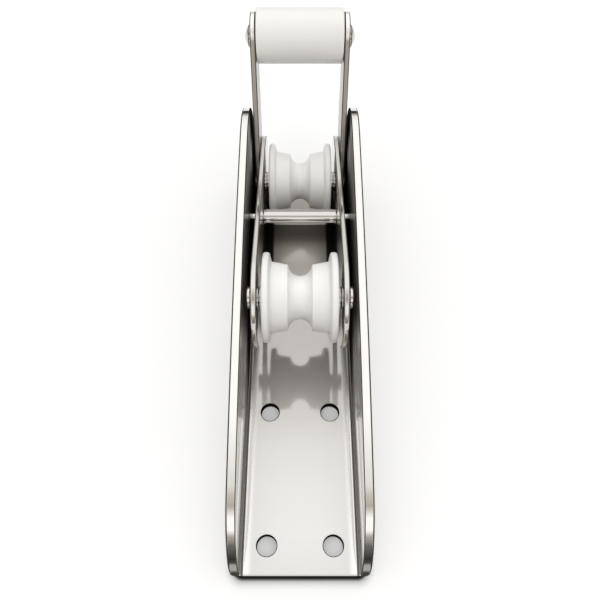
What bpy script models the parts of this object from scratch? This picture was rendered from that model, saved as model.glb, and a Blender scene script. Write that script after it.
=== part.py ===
# Bow roller: a folded channel that bolts to the deck, a rocking cradle with two grooved rollers,
# and a swinging bail with a plain keeper roller that holds the chain down.
# Metres, +Z up, +Y outboard towards the anchor, X across the bow. The origin is the centre of
# the four-bolt pattern on the underside of the channel.

import math

import bmesh
import bpy
from mathutils import Euler, Vector

GAP = 0.0003                      # air left between faces that touch on the real object

# Base channel
PLATE = 0.006                     # thickness of the folded plate
CHANNEL_LENGTH = 0.3358
BEND_INNER_RADIUS = 0.0025
CORNER_START = 0.0063             # where the upright inboard end begins to curve, above the underside
INBOARD_CORNER_RADIUS = 0.054
INBOARD_CORNER_CLIMB = math.radians(22.5)     # slope of the top edge where this corner ends
INBOARD_SHOULDER_RADIUS = 0.092
INBOARD_SHOULDER_CLIMB = math.radians(16.6)
CROWN_RADIUS = 1.454              # radius of the long curve of the walls' top edges
OUTBOARD_SHOULDER_RADIUS = 0.104
OUTBOARD_SHOULDER_CLIMB = math.radians(-1.6)
OUTBOARD_CORNER_RADIUS = 0.0417
BOLT_ROW_INSET = 0.018            # inboard end to the first row of bolt holes
BOLT_ROW_PITCH = 0.0905
BOLT_SPACING = 0.043              # between the two holes of a row
BOLT_HOLE_DIAMETER = 0.013
EDGE_BREAK = 0.001                # broken edges of every cut plate

# Grooved rollers
ROLLER_DIAMETER = 0.0606          # over the flanges
ROLLER_WIDTH = 0.0494
FLANGE_HEIGHT = 0.0062            # flange rim above the body beside it
FLANGE_WIDTH = 0.0057             # at its root
FLANGE_TAPER = 0.0014             # how much narrower the flange is at its rim
RIM_ROUND = 0.0014
BODY_TAPER = 0.002                # fall of the body from the flange to the chain groove
GROOVE_RADIUS = 0.008
GROOVE_DEPTH = 0.0076
BORE_CHAMFER = 0.001

# Rocking cradle
FRONT_AXLE_INSET = 0.038          # channel's outboard end to the front axle
AXLE_SPREAD = 0.1353              # level distance between the two roller axles
REAR_AXLE_HEIGHT = 0.07635        # above the underside
PIVOT_SETBACK = 0.0583            # front axle to the cradle's pivot, level
PIVOT_HEIGHT = 0.067
CHEEK_THICKNESS = 0.0036
FRONT_CHEEK_MARGIN = 0.0062       # cheek edge beyond the front roller's flange
REAR_CHEEK_MARGIN = 0.0032        # the same at the rear roller
SIDE_CLEARANCE = 0.0005           # front screw heads to the channel walls

# Axles, screws and washers
AXLE_DIAMETER = 0.012
KEEPER_AXLE_DIAMETER = 0.010
TAPPED_DEPTH = 0.014              # tapped hole in each end of an axle
SCREW_DIAMETER = 0.006
SCREW_REACH = 0.012               # how far a screw runs into its axle
LOW_HEAD_DIAMETER = 0.0155
LOW_HEAD_HEIGHT = 0.0022
LOW_HEAD_ROUND = 0.0008
SOCKET_WIDTH = 0.004              # hexagon socket, across the flats
LOW_SOCKET_DEPTH = 0.0013
DOME_SOCKET_DEPTH = 0.002
ROLLER_WASHER_THICKNESS = 0.0019
ROLLER_WASHER_DIAMETER = 0.0156
REAR_COLLAR_THICKNESS = 0.0019
REAR_COLLAR_DIAMETER = 0.012
PIVOT_BOLT_DIAMETER = 0.006
PIVOT_TUBE_DIAMETER = 0.0113
PIVOT_HEAD_DIAMETER = 0.0125
PIVOT_HEAD_HEIGHT = 0.0033
PIVOT_NUT_WIDTH = 0.010           # across the flats
PIVOT_NUT_HEIGHT = 0.0032

# Bail
BAIL_LENGTH = 0.1151              # front axle to keeper axle
BAIL_LEAN = math.radians(70.5)    # above level, leaning outboard
ARM_THICKNESS = 0.0039
ARM_FOOT_RADIUS = 0.020
ARM_TOP_RADIUS = 0.016
KEEPER_DIAMETER = 0.037
KEEPER_SIDE_CLEARANCE = 0.0005
KEEPER_ROUND = 0.0008
DOME_HEAD_DIAMETER = 0.0152
DOME_HEAD_HEIGHT = 0.0042
DOME_RIM_HEIGHT = 0.0009

# Facets
ROLLER_STEPS = 32
PIN_STEPS = 16
HOLE_STEPS = 24
CORNER_STEPS = 10
SHOULDER_STEPS = 3
BEND_STEPS = 4
FILLET_STEPS = 3
GROOVE_STEPS = 8
CROWN_STEPS = 12
HEXAGON_SIDES = 6

# Stack of pieces from the middle outwards, each value a distance from the middle plane
ROLLER_FACE = ROLLER_WIDTH / 2
CHEEK_INNER = ROLLER_FACE + GAP + ROLLER_WASHER_THICKNESS + GAP
CHEEK_OUTER = CHEEK_INNER + CHEEK_THICKNESS
ARM_INNER = CHEEK_OUTER + GAP
ARM_OUTER = ARM_INNER + ARM_THICKNESS
FRONT_HEAD_SEAT = ARM_OUTER + GAP
WALL_INNER = FRONT_HEAD_SEAT + LOW_HEAD_HEIGHT + SIDE_CLEARANCE
WALL_OUTER = WALL_INNER + PLATE
REAR_HEAD_SEAT = CHEEK_OUTER + GAP + REAR_COLLAR_THICKNESS + GAP
KEEPER_FACE = ARM_INNER - KEEPER_SIDE_CLEARANCE
AXLE_END = CHEEK_INNER - GAP
KEEPER_AXLE_END = ARM_INNER - GAP

# Places in the side view
INBOARD_END = -BOLT_ROW_INSET - BOLT_ROW_PITCH / 2
OUTBOARD_END = INBOARD_END + CHANNEL_LENGTH
FLANGE_RADIUS = ROLLER_DIAMETER / 2
FRONT_CHEEK_RADIUS = FLANGE_RADIUS + FRONT_CHEEK_MARGIN
REAR_CHEEK_RADIUS = FLANGE_RADIUS + REAR_CHEEK_MARGIN
FRONT_AXLE = Vector((0, OUTBOARD_END - FRONT_AXLE_INSET, PLATE + GAP + FRONT_CHEEK_RADIUS))
REAR_AXLE = Vector((0, FRONT_AXLE.y - AXLE_SPREAD, REAR_AXLE_HEIGHT))
PIVOT = Vector((0, FRONT_AXLE.y - PIVOT_SETBACK, PIVOT_HEIGHT))
BAIL_DIRECTION = Vector((0, math.cos(BAIL_LEAN), math.sin(BAIL_LEAN)))
KEEPER_AXLE = FRONT_AXLE + BAIL_LENGTH * BAIL_DIRECTION

SIDE_VIEW = Euler((math.pi / 2, 0, math.pi / 2))      # a flat outline's x and y become Y and Z
FRONT_VIEW = Euler((math.pi / 2, 0, 0))               # a flat outline's x and y become X and Z
TO_THE_RIGHT = Euler((0, math.pi / 2, 0))             # a turned piece's axis points to +X
TO_THE_LEFT = Euler((0, -math.pi / 2, 0))
SIDES = {"left": TO_THE_LEFT, "right": TO_THE_RIGHT}


def clear_scene():
    for item in list(bpy.data.objects):
        bpy.data.objects.remove(item, do_unlink=True)


def new_collection(name):
    collection = bpy.data.collections.new(name)
    bpy.context.scene.collection.children.link(collection)
    return collection


def new_material(name, colour, roughness, metallic):
    material = bpy.data.materials.new(name)
    material.use_nodes = True
    shader = material.node_tree.nodes["Principled BSDF"]
    shader.inputs["Base Color"].default_value = (*colour, 1)
    shader.inputs["Roughness"].default_value = roughness
    shader.inputs["Metallic"].default_value = metallic
    return material


def steel(name):
    return new_material(name + "_polished_steel", (0.78, 0.77, 0.74), 0.08, 1)


def nylon(name):
    return new_material(name + "_white_nylon", (0.86, 0.86, 0.84), 0.38, 0)


def new_empty(name, location, parent=None):
    empty = bpy.data.objects.new(name, None)
    parts.objects.link(empty)
    attach(empty, location, parent)
    return empty


def attach(item, location, parent):
    # the empties stand square to the world, so a child's place is a plain difference
    home = Vector()
    carrier = parent
    while carrier:
        home += carrier.location
        carrier = carrier.parent
    item.location = Vector(location) - home
    item.parent = parent


def arc(centre, radius, start, end, steps):
    turn = (end - start) / steps
    angles = [start + turn * step for step in range(steps + 1)]
    return [(centre[0] + radius * math.cos(a), centre[1] + radius * math.sin(a)) for a in angles]


def circle(centre, diameter, steps=HOLE_STEPS):
    return arc(centre, diameter / 2, 0, 2 * math.pi, steps)[:-1]


def mesh_from_outline(name, loops, thickness):
    # fills a flat outline with its holes, thickens it both ways and welds the loose caps
    curve = bpy.data.curves.new(name, "CURVE")
    curve.dimensions = "2D"
    curve.fill_mode = "BOTH"
    curve.extrude = thickness / 2
    for loop in loops:
        spline = curve.splines.new("POLY")
        spline.points.add(len(loop) - 1)
        for point, place in zip(spline.points, loop):
            point.co = (*place, 0, 1)
        spline.use_cyclic_u = True
    holder = bpy.data.objects.new(name, curve)
    parts.objects.link(holder)
    evaluated = holder.evaluated_get(bpy.context.evaluated_depsgraph_get())
    mesh = bpy.data.meshes.new_from_object(evaluated)
    bpy.data.objects.remove(holder)
    shape = bmesh.new()
    shape.from_mesh(mesh)
    bmesh.ops.remove_doubles(shape, verts=shape.verts, dist=1e-6)
    shape.to_mesh(mesh)
    shape.free()
    return mesh


def add_cutter(name, mesh, location, rotation):
    cutter = bpy.data.objects.new(name, mesh)
    cutters.objects.link(cutter)
    cutter.location = location
    cutter.rotation_euler = rotation
    cutter.hide_render = True
    cutter.display_type = "WIRE"
    return cutter


def cut(item, cutter, operation="DIFFERENCE"):
    boolean = item.modifiers.new(cutter.name, "BOOLEAN")
    boolean.operation = operation
    boolean.solver = "EXACT"
    boolean.object = cutter


def drill_mesh(name, diameter, length, sides):
    # diameter is measured across the flats where the drill has few sides
    mesh = bpy.data.meshes.new(name)
    shape = bmesh.new()
    radius = diameter / 2 / math.cos(math.pi / sides) if sides == HEXAGON_SIDES else diameter / 2
    bmesh.ops.create_cone(shape, cap_ends=True, segments=sides, radius1=radius, radius2=radius,
                          depth=length)
    shape.to_mesh(mesh)
    shape.free()
    return mesh


def break_edges(item, width=EDGE_BREAK):
    bevel = item.modifiers.new("broken_edges", "BEVEL")
    bevel.width = width
    bevel.segments = 1
    bevel.limit_method = "ANGLE"
    bevel.angle_limit = math.radians(50)


def flat_plate(name, loops, thickness, middle, origin, parent, material):
    # loops are in the side view, measured from the origin; middle is the plate's place across X
    plate = bpy.data.objects.new(name, mesh_from_outline(name, loops, thickness))
    parts.objects.link(plate)
    plate.data.materials.append(material)
    plate.rotation_euler = SIDE_VIEW
    attach(plate, (middle, origin.y, origin.z), parent)
    break_edges(plate)
    return plate


def turned(name, profile, steps, rotation, location, parent, material, closed=False):
    # profile holds (radius, along) pairs that run down the outer side
    mesh = bpy.data.meshes.new(name)
    points = [(radius, 0, along) for radius, along in profile]
    edges = [(index, index + 1) for index in range(len(points) - 1)]
    if closed:
        edges.append((len(points) - 1, 0))
    mesh.from_pydata(points, edges, [])
    item = bpy.data.objects.new(name, mesh)
    parts.objects.link(item)
    mesh.materials.append(material)
    item.rotation_euler = rotation
    attach(item, location, parent)
    spin = item.modifiers.new("turned", "SCREW")
    spin.axis = "Z"
    spin.angle = 2 * math.pi
    spin.steps = steps
    spin.render_steps = steps
    spin.use_merge_vertices = True
    spin.merge_threshold = 0.00001
    spin.use_smooth_shade = True
    return item


def ring(name, outer, bore, near, far, side, place, parent, material):
    # a washer, collar or tube between two distances from the middle plane
    profile = [(outer / 2, far), (outer / 2, near), (bore / 2, near), (bore / 2, far)]
    return turned(name, profile, PIN_STEPS, SIDES[side], place, parent, material, closed=True)


def channel_section():
    # half of the U from the middle of the floor out and up the wall, then back down the outside
    reach = max(z for _, z in channel_side_outline()) + PLATE
    outer = BEND_INNER_RADIUS + PLATE
    centre = (WALL_INNER - BEND_INNER_RADIUS, PLATE + BEND_INNER_RADIUS)
    inside = arc(centre, BEND_INNER_RADIUS, -math.pi / 2, 0, BEND_STEPS)
    outside = arc(centre, outer, 0, -math.pi / 2, BEND_STEPS)
    right = inside + [(WALL_INNER, reach), (WALL_OUTER, reach)] + outside
    left = [(-x, z) for x, z in reversed(right)]
    return right + left


def channel_side_outline():
    # The top edge is a chain of five arcs that touch each other, from straight up at the inboard
    # end to straight down at the outboard end. Each arc ends at its own climb; the long crown's
    # end climb is the one that makes the chain as long as the channel.
    climbs = [math.pi / 2, INBOARD_CORNER_CLIMB, INBOARD_SHOULDER_CLIMB, 0, OUTBOARD_SHOULDER_CLIMB,
              -math.pi / 2]
    radii = [INBOARD_CORNER_RADIUS, INBOARD_SHOULDER_RADIUS, CROWN_RADIUS, OUTBOARD_SHOULDER_RADIUS,
             OUTBOARD_CORNER_RADIUS]
    steps = [CORNER_STEPS, SHOULDER_STEPS, CROWN_STEPS, SHOULDER_STEPS, CORNER_STEPS]
    spans = [r * (math.sin(a) - math.sin(b)) for r, a, b in zip(radii, climbs, climbs[1:])]
    excess = sum(spans) - CHANNEL_LENGTH
    climbs[3] = math.asin(excess / (CROWN_RADIUS - OUTBOARD_SHOULDER_RADIUS))
    place = Vector((INBOARD_END, CORNER_START))
    points = [(INBOARD_END, -PLATE), tuple(place)]
    for radius, start, end, count in zip(radii, climbs, climbs[1:], steps):
        centre = place + radius * Vector((math.sin(start), -math.cos(start)))
        points += arc(centre, radius, start + math.pi / 2, end + math.pi / 2, count)[1:]
        place = Vector(points[-1])
    points.append((OUTBOARD_END, -PLATE))
    return points[::-1]


def build_channel(parent):
    # an extruded U section, trimmed to the walls' side outline and drilled
    mesh = mesh_from_outline("base_channel", [channel_section()], CHANNEL_LENGTH + 2 * PLATE)
    channel = bpy.data.objects.new("base_channel", mesh)
    parts.objects.link(channel)
    mesh.materials.append(steel("base_channel"))
    channel.rotation_euler = FRONT_VIEW
    attach(channel, (0, (INBOARD_END + OUTBOARD_END) / 2, 0), parent)
    trim = mesh_from_outline("wall_trim", [channel_side_outline()], 2 * (WALL_OUTER + PLATE))
    cut(channel, add_cutter("wall_trim", trim, (0, 0, 0), SIDE_VIEW), "INTERSECT")
    for row in (-1, 1):
        for side in (-1, 1):
            name = "bolt_hole_%d_%d" % (row + 2, side + 2)
            drill = drill_mesh(name, BOLT_HOLE_DIAMETER, 4 * PLATE, HOLE_STEPS)
            place = (side * BOLT_SPACING / 2, row * BOLT_ROW_PITCH / 2, PLATE / 2)
            cut(channel, add_cutter(name, drill, place, Euler()))
    bore = drill_mesh("pivot_hole", PIVOT_BOLT_DIAMETER + 2 * GAP, 2 * (WALL_OUTER + PLATE), PIN_STEPS)
    cut(channel, add_cutter("pivot_hole", bore, PIVOT, TO_THE_RIGHT))
    break_edges(channel)


def tapered_link(first, second, first_radius, second_radius):
    # outline of two circles joined by their outer tangents, measured from the first centre
    line = Vector((second.y - first.y, second.z - first.z))
    heading = math.atan2(line.y, line.x)
    flare = math.acos((first_radius - second_radius) / line.length)
    ends = arc(line, second_radius, heading - flare, heading + flare, 2 * CORNER_STEPS)
    ends += arc((0, 0), first_radius, heading + flare, heading - flare + 2 * math.pi, 2 * CORNER_STEPS)
    return ends


def build_cheeks(parent):
    bore = SCREW_DIAMETER + 2 * GAP
    rear = (REAR_AXLE.y - PIVOT.y, REAR_AXLE.z - PIVOT.z)
    front = (FRONT_AXLE.y - PIVOT.y, FRONT_AXLE.z - PIVOT.z)
    outline = tapered_link(REAR_AXLE, FRONT_AXLE, REAR_CHEEK_RADIUS, FRONT_CHEEK_RADIUS)
    outline = [(y + rear[0], z + rear[1]) for y, z in outline]
    pivot_bore = PIVOT_BOLT_DIAMETER + 2 * GAP
    loops = [outline, circle(rear, bore, PIN_STEPS), circle(front, bore, PIN_STEPS),
             circle((0, 0), pivot_bore, PIN_STEPS)]
    middle = (CHEEK_INNER + CHEEK_OUTER) / 2
    for side, sign in (("left", -1), ("right", 1)):
        name = "rocker_cheek_" + side
        flat_plate(name, loops, CHEEK_THICKNESS, sign * middle, PIVOT, parent, steel(name))


def build_bail_arms(parent):
    bore = SCREW_DIAMETER + 2 * GAP
    top = (KEEPER_AXLE.y - FRONT_AXLE.y, KEEPER_AXLE.z - FRONT_AXLE.z)
    outline = tapered_link(FRONT_AXLE, KEEPER_AXLE, ARM_FOOT_RADIUS, ARM_TOP_RADIUS)
    loops = [outline, circle((0, 0), bore, PIN_STEPS), circle(top, bore, PIN_STEPS)]
    middle = (ARM_INNER + ARM_OUTER) / 2
    for side, sign in (("left", -1), ("right", 1)):
        name = "bail_arm_" + side
        flat_plate(name, loops, ARM_THICKNESS, sign * middle, FRONT_AXLE, parent, steel(name))


def roller_side():
    # outer line of one half of a grooved roller, from its end face to the middle of the groove
    body = FLANGE_RADIUS - FLANGE_HEIGHT
    root = ROLLER_FACE - FLANGE_WIDTH
    rim = ROLLER_FACE - FLANGE_WIDTH + FLANGE_TAPER
    waist = body - BODY_TAPER
    centre_radius = waist - GROOVE_DEPTH + GROOVE_RADIUS
    spread = math.acos(1 - GROOVE_DEPTH / GROOVE_RADIUS)
    outer_round = arc((FLANGE_RADIUS - RIM_ROUND, ROLLER_FACE - RIM_ROUND), RIM_ROUND,
                      math.pi / 2, 0, FILLET_STEPS)
    inner_round = arc((FLANGE_RADIUS - RIM_ROUND, rim + RIM_ROUND), RIM_ROUND,
                      0, -math.pi / 2, FILLET_STEPS)
    groove = arc((centre_radius, 0), GROOVE_RADIUS, math.pi - spread, math.pi, GROOVE_STEPS // 2)
    return outer_round + inner_round + [(body, root)] + groove


def build_grooved_roller(name, place, parent):
    bore = AXLE_DIAMETER / 2 + GAP
    half = roller_side()
    other = [(radius, -along) for radius, along in reversed(half[:-1])]
    entry = [(bore, ROLLER_FACE - BORE_CHAMFER), (bore + BORE_CHAMFER, ROLLER_FACE)]
    leave = [(radius, -along) for radius, along in reversed(entry)]
    profile = entry + half + other + leave
    turned(name, profile, ROLLER_STEPS, TO_THE_RIGHT, place, parent, nylon(name), closed=True)


def build_keeper_roller(place, parent):
    bore = KEEPER_AXLE_DIAMETER / 2 + GAP
    radius = KEEPER_DIAMETER / 2
    edge = arc((radius - KEEPER_ROUND, KEEPER_FACE - KEEPER_ROUND), KEEPER_ROUND,
               math.pi / 2, 0, FILLET_STEPS)
    half = [(bore, KEEPER_FACE - BORE_CHAMFER), (bore + BORE_CHAMFER, KEEPER_FACE)] + edge
    other = [(r, -along) for r, along in reversed(half)]
    turned("keeper_roller", half + other, ROLLER_STEPS, TO_THE_RIGHT, place, parent,
           nylon("keeper_roller"), closed=True)


def build_axle(name, diameter, end, place, parent):
    # a plain bar with a tapped hole in each end
    tapped = SCREW_DIAMETER / 2 + GAP
    half = [(0, end - TAPPED_DEPTH), (tapped, end - TAPPED_DEPTH), (tapped, end), (diameter / 2, end)]
    other = [(radius, -along) for radius, along in reversed(half)]
    turned(name, half + other, PIN_STEPS, TO_THE_RIGHT, place, parent, steel(name))


def add_socket(screw, side, head_top, depth, place):
    drill = drill_mesh(screw.name + "_socket", SOCKET_WIDTH, 2 * depth, HEXAGON_SIDES)
    sign = 1 if side == "right" else -1
    centre = Vector(place) + Vector((sign * head_top, 0, 0))
    cut(screw, add_cutter(screw.name + "_socket", drill, centre, SIDES[side]))


def shank(seat, end, diameter):
    tip = end - SCREW_REACH
    return [(diameter / 2, seat), (diameter / 2, tip), (0, tip)]


def build_low_screw(name, side, seat, end, place, parent):
    # flat low head with a rounded rim, seated at a distance from the middle plane
    top = seat + LOW_HEAD_HEIGHT
    radius = LOW_HEAD_DIAMETER / 2
    rim = arc((radius - LOW_HEAD_ROUND, top - LOW_HEAD_ROUND), LOW_HEAD_ROUND,
              math.pi / 2, 0, FILLET_STEPS)
    profile = [(0, top)] + rim + [(radius, seat)] + shank(seat, end, SCREW_DIAMETER)
    screw = turned(name, profile, PIN_STEPS, SIDES[side], place, parent, steel(name))
    add_socket(screw, side, top, LOW_SOCKET_DEPTH, place)


def dome(seat, diameter, height, rim_height):
    # a button head: a short upright rim under a cap of a sphere
    rise = height - rim_height
    radius = (rise ** 2 + (diameter / 2) ** 2) / (2 * rise)
    spread = math.asin(diameter / 2 / radius)
    centre = (0, seat + height - radius)
    cap = arc(centre, radius, math.pi / 2, math.pi / 2 - spread, FILLET_STEPS + 1)
    return cap + [(diameter / 2, seat)]


def build_dome_screw(name, side, seat, end, place, parent):
    profile = dome(seat, DOME_HEAD_DIAMETER, DOME_HEAD_HEIGHT, DOME_RIM_HEIGHT)
    profile += shank(seat, end, SCREW_DIAMETER)
    screw = turned(name, profile, PIN_STEPS, SIDES[side], place, parent, steel(name))
    add_socket(screw, side, seat + DOME_HEAD_HEIGHT, DOME_SOCKET_DEPTH, place)


def build_pivot(base, rocker):
    # The bolt runs right across. Its head stands on the left wall and its thin nut on the right.
    seat = WALL_OUTER + GAP
    end = -(seat + PIVOT_NUT_HEIGHT)
    radius = PIVOT_BOLT_DIAMETER / 2
    profile = dome(seat, PIVOT_HEAD_DIAMETER, PIVOT_HEAD_HEIGHT, DOME_RIM_HEIGHT)
    profile += [(radius, seat), (radius, end), (0, end)]
    bolt = turned("pivot_bolt", profile, PIN_STEPS, SIDES["left"], PIVOT, base, steel("pivot_bolt"))
    add_socket(bolt, "left", seat + PIVOT_HEAD_HEIGHT, DOME_SOCKET_DEPTH, PIVOT)

    mesh = drill_mesh("pivot_nut", PIVOT_NUT_WIDTH, PIVOT_NUT_HEIGHT, HEXAGON_SIDES)
    mesh.materials.append(steel("pivot_nut"))
    nut = bpy.data.objects.new("pivot_nut", mesh)
    parts.objects.link(nut)
    nut.rotation_euler = TO_THE_RIGHT
    middle = seat + PIVOT_NUT_HEIGHT / 2
    attach(nut, (middle, PIVOT.y, PIVOT.z), base)
    bore = PIVOT_BOLT_DIAMETER + 2 * GAP
    thread = drill_mesh("nut_bore", bore, 2 * PIVOT_NUT_HEIGHT, PIN_STEPS)
    cut(nut, add_cutter("nut_bore", thread, (middle, PIVOT.y, PIVOT.z), TO_THE_RIGHT))

    ring("pivot_tube", PIVOT_TUBE_DIAMETER, bore, -AXLE_END, AXLE_END, "right", PIVOT, rocker,
         steel("pivot_tube"))


def build_roller_axle(which, place, seat, parent):
    build_axle(which + "_axle", AXLE_DIAMETER, AXLE_END, place, parent)
    for side in SIDES:
        build_low_screw("%s_screw_%s" % (which, side), side, seat, AXLE_END, place, parent)
        name = "%s_washer_%s" % (which, side)
        ring(name, ROLLER_WASHER_DIAMETER, AXLE_DIAMETER + 2 * GAP, ROLLER_FACE + GAP,
             CHEEK_INNER - GAP, side, place, parent, steel(name))


clear_scene()
parts = new_collection("bow_roller")
cutters = new_collection("cutters")

base_frame = new_empty("base_frame", (0, 0, 0))
rocker_pivot = new_empty("rocker_pivot", PIVOT, base_frame)
rear_roller_axis = new_empty("rear_roller_axis", REAR_AXLE, rocker_pivot)
front_roller_axis = new_empty("front_roller_axis", FRONT_AXLE, rocker_pivot)
bail_hinge = new_empty("bail_hinge", FRONT_AXLE, rocker_pivot)
keeper_axis = new_empty("keeper_axis", KEEPER_AXLE, bail_hinge)

build_channel(base_frame)
build_pivot(base_frame, rocker_pivot)
build_cheeks(rocker_pivot)
build_roller_axle("rear", REAR_AXLE, REAR_HEAD_SEAT, rocker_pivot)
build_roller_axle("front", FRONT_AXLE, FRONT_HEAD_SEAT, rocker_pivot)
for side in SIDES:
    collar = "rear_collar_" + side
    ring(collar, REAR_COLLAR_DIAMETER, SCREW_DIAMETER + 2 * GAP, CHEEK_OUTER + GAP,
         REAR_HEAD_SEAT - GAP, side, REAR_AXLE, rocker_pivot, steel(collar))
build_grooved_roller("rear_roller", REAR_AXLE, rear_roller_axis)
build_grooved_roller("front_roller", FRONT_AXLE, front_roller_axis)
build_bail_arms(bail_hinge)
build_axle("keeper_axle", KEEPER_AXLE_DIAMETER, KEEPER_AXLE_END, KEEPER_AXLE, bail_hinge)
for side in SIDES:
    build_dome_screw("keeper_screw_" + side, side, ARM_OUTER + GAP, KEEPER_AXLE_END, KEEPER_AXLE,
                     bail_hinge)
build_keeper_roller(KEEPER_AXLE, keeper_axis)
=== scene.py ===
# Bow roller: the finished looks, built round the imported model.
# Metres, +Z up, +Y outboard towards the anchor, X across the bow.
import math

import bmesh
import bpy
import numpy as np
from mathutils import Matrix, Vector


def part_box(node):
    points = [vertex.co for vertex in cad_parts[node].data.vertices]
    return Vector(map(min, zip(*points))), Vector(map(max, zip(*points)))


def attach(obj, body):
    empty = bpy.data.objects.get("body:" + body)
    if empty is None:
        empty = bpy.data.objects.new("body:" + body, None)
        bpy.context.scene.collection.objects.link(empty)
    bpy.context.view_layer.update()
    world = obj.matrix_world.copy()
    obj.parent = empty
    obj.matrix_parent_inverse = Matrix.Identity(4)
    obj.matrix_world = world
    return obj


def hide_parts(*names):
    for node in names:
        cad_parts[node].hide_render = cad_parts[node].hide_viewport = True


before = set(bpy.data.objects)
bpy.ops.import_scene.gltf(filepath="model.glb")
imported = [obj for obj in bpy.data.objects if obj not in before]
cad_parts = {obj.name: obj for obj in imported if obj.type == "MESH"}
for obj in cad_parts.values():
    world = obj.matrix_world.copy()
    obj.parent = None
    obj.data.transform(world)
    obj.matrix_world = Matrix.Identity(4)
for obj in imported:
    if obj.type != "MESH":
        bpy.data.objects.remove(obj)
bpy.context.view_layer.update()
print("frame loaded:", len(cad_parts), "nodes")

halfTurn = math.pi
fullTurn = 2 * math.pi
weldDistance = 0.000002
touching = 1e-9


def centreOf(node):
    low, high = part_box(node)
    return np.array((low + high) / 2)


# Geometry tools. A patch is a grid of points with the outward direction at each of them.

def unit(vectors):
    return vectors / np.linalg.norm(vectors, axis=-1, keepdims=True)


def arcOf(centre, radius, start, end, steps):
    # points and outward directions at even angles round a centre
    angles = np.linspace(start, end, steps + 1)
    facing = np.stack([np.cos(angles), np.sin(angles)], -1)
    return np.array(centre) + radius * facing, facing


def lineOf(start, end, steps):
    # even points from start to end
    share = np.linspace(0, 1, steps + 1)[:, None]
    return np.array(start) * (1 - share) + np.array(end) * share


def roundedProfile(corners, radii, closed, steps=6):
    # Each corner of a chain becomes a circular arc that touches both of its sides. Returns the
    # points and, a quarter turn to the left of the way along, the outward directions.
    corners = np.array(corners, float)
    count = len(corners)
    points, facing = [], []
    for place in range(count):
        here = corners[place]
        if not closed and place in (0, count - 1):
            other = corners[1] if place == 0 else corners[count - 2]
            along = unit(other - here) if place == 0 else unit(here - other)
            points.append(here[None])
            facing.append(np.array([[-along[1], along[0]]]))
            continue
        before = unit(here - corners[place - 1])
        after = unit(corners[(place + 1) % count] - here)
        turn = math.atan2(before[0] * after[1] - before[1] * after[0], before @ after)
        reach = radii[place] * abs(math.tan(turn / 2))
        side = np.sign(turn)
        left = np.array([-before[1], before[0]])
        centre = here - before * reach + left * side * radii[place]
        angles = np.linspace(0, turn, steps + 1)
        cosines, sines = np.cos(angles), np.sin(angles)
        outward = np.stack([left[0] * cosines - left[1] * sines,
                            left[0] * sines + left[1] * cosines], -1)
        points.append(centre - side * radii[place] * outward)
        facing.append(outward)
    points, facing = np.concatenate(points), np.concatenate(facing)
    if closed:
        points = np.concatenate([points, points[:1]])
        facing = np.concatenate([facing, facing[:1]])
    return points, facing


def rimProfile(thickness, fillet, reach, steps=5):
    # From the first face over the edge to the second: how far inside the outline, how deep, and
    # the outward direction as a share of the outline's own and of the depth. The first rounding
    # is an ellipse that reaches less far in depth, the second a circle.
    first = np.linspace(-halfTurn / 2, 0, steps + 1)
    second = np.linspace(0, halfTurn / 2, steps + 1)
    inset = fillet * (1 - np.cos(np.concatenate([first, second])))
    depth = np.concatenate([reach * (1 + np.sin(first)), thickness - fillet * (1 - np.sin(second))])
    facing = np.concatenate([unit(np.stack([np.cos(first) * reach, np.sin(first) * fillet], -1)),
                             np.stack([np.cos(second), np.sin(second)], -1)])
    return inset, depth, facing[:, 0], facing[:, 1]


def rimPatch(insetPoints, outward, thickness, fillet, reach=None):
    # the rounded edge profile carried along an outline whose points are already inset
    inset, depth, outShare, depthShare = rimProfile(thickness, fillet, reach or fillet)
    plane = insetPoints[:, None] + outward[:, None] * (fillet - inset)[None, :, None]
    points = np.concatenate([plane, np.broadcast_to(depth[None, :, None], plane[..., :1].shape)], -1)
    sideways = outward[:, None] * outShare[None, :, None]
    downward = np.broadcast_to(depthShare[None, :, None], plane[..., :1].shape)
    return points, np.concatenate([sideways, downward], -1)


def facePatches(plane, thickness):
    # one flat grid as the plate's first face, at no depth, and as its second, at full depth
    patches = []
    for depth, way in ((0.0, -1.0), (thickness, 1.0)):
        level = np.full(plane.shape[:-1] + (1,), depth)
        facing = np.zeros(plane.shape[:-1] + (3,))
        facing[..., 2] = way
        patches.append((np.concatenate([plane, level], -1), facing))
    return patches


def holedCell(loop, centre, radius, thickness, fillet, steps=6):
    # A closed loop round one hole. Every point slides in a straight line from the hole's edge to
    # the loop, and the hole's own wall gets the rounded rim.
    direction = unit(loop - np.array(centre))
    edge = np.array(centre) + (radius + fillet) * direction
    share = np.linspace(0, 1, steps + 1)[:, None, None]
    plane = edge[None] * (1 - share) + loop[None] * share
    return facePatches(plane, thickness) + [rimPatch(edge, -direction, thickness, fillet)]


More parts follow.
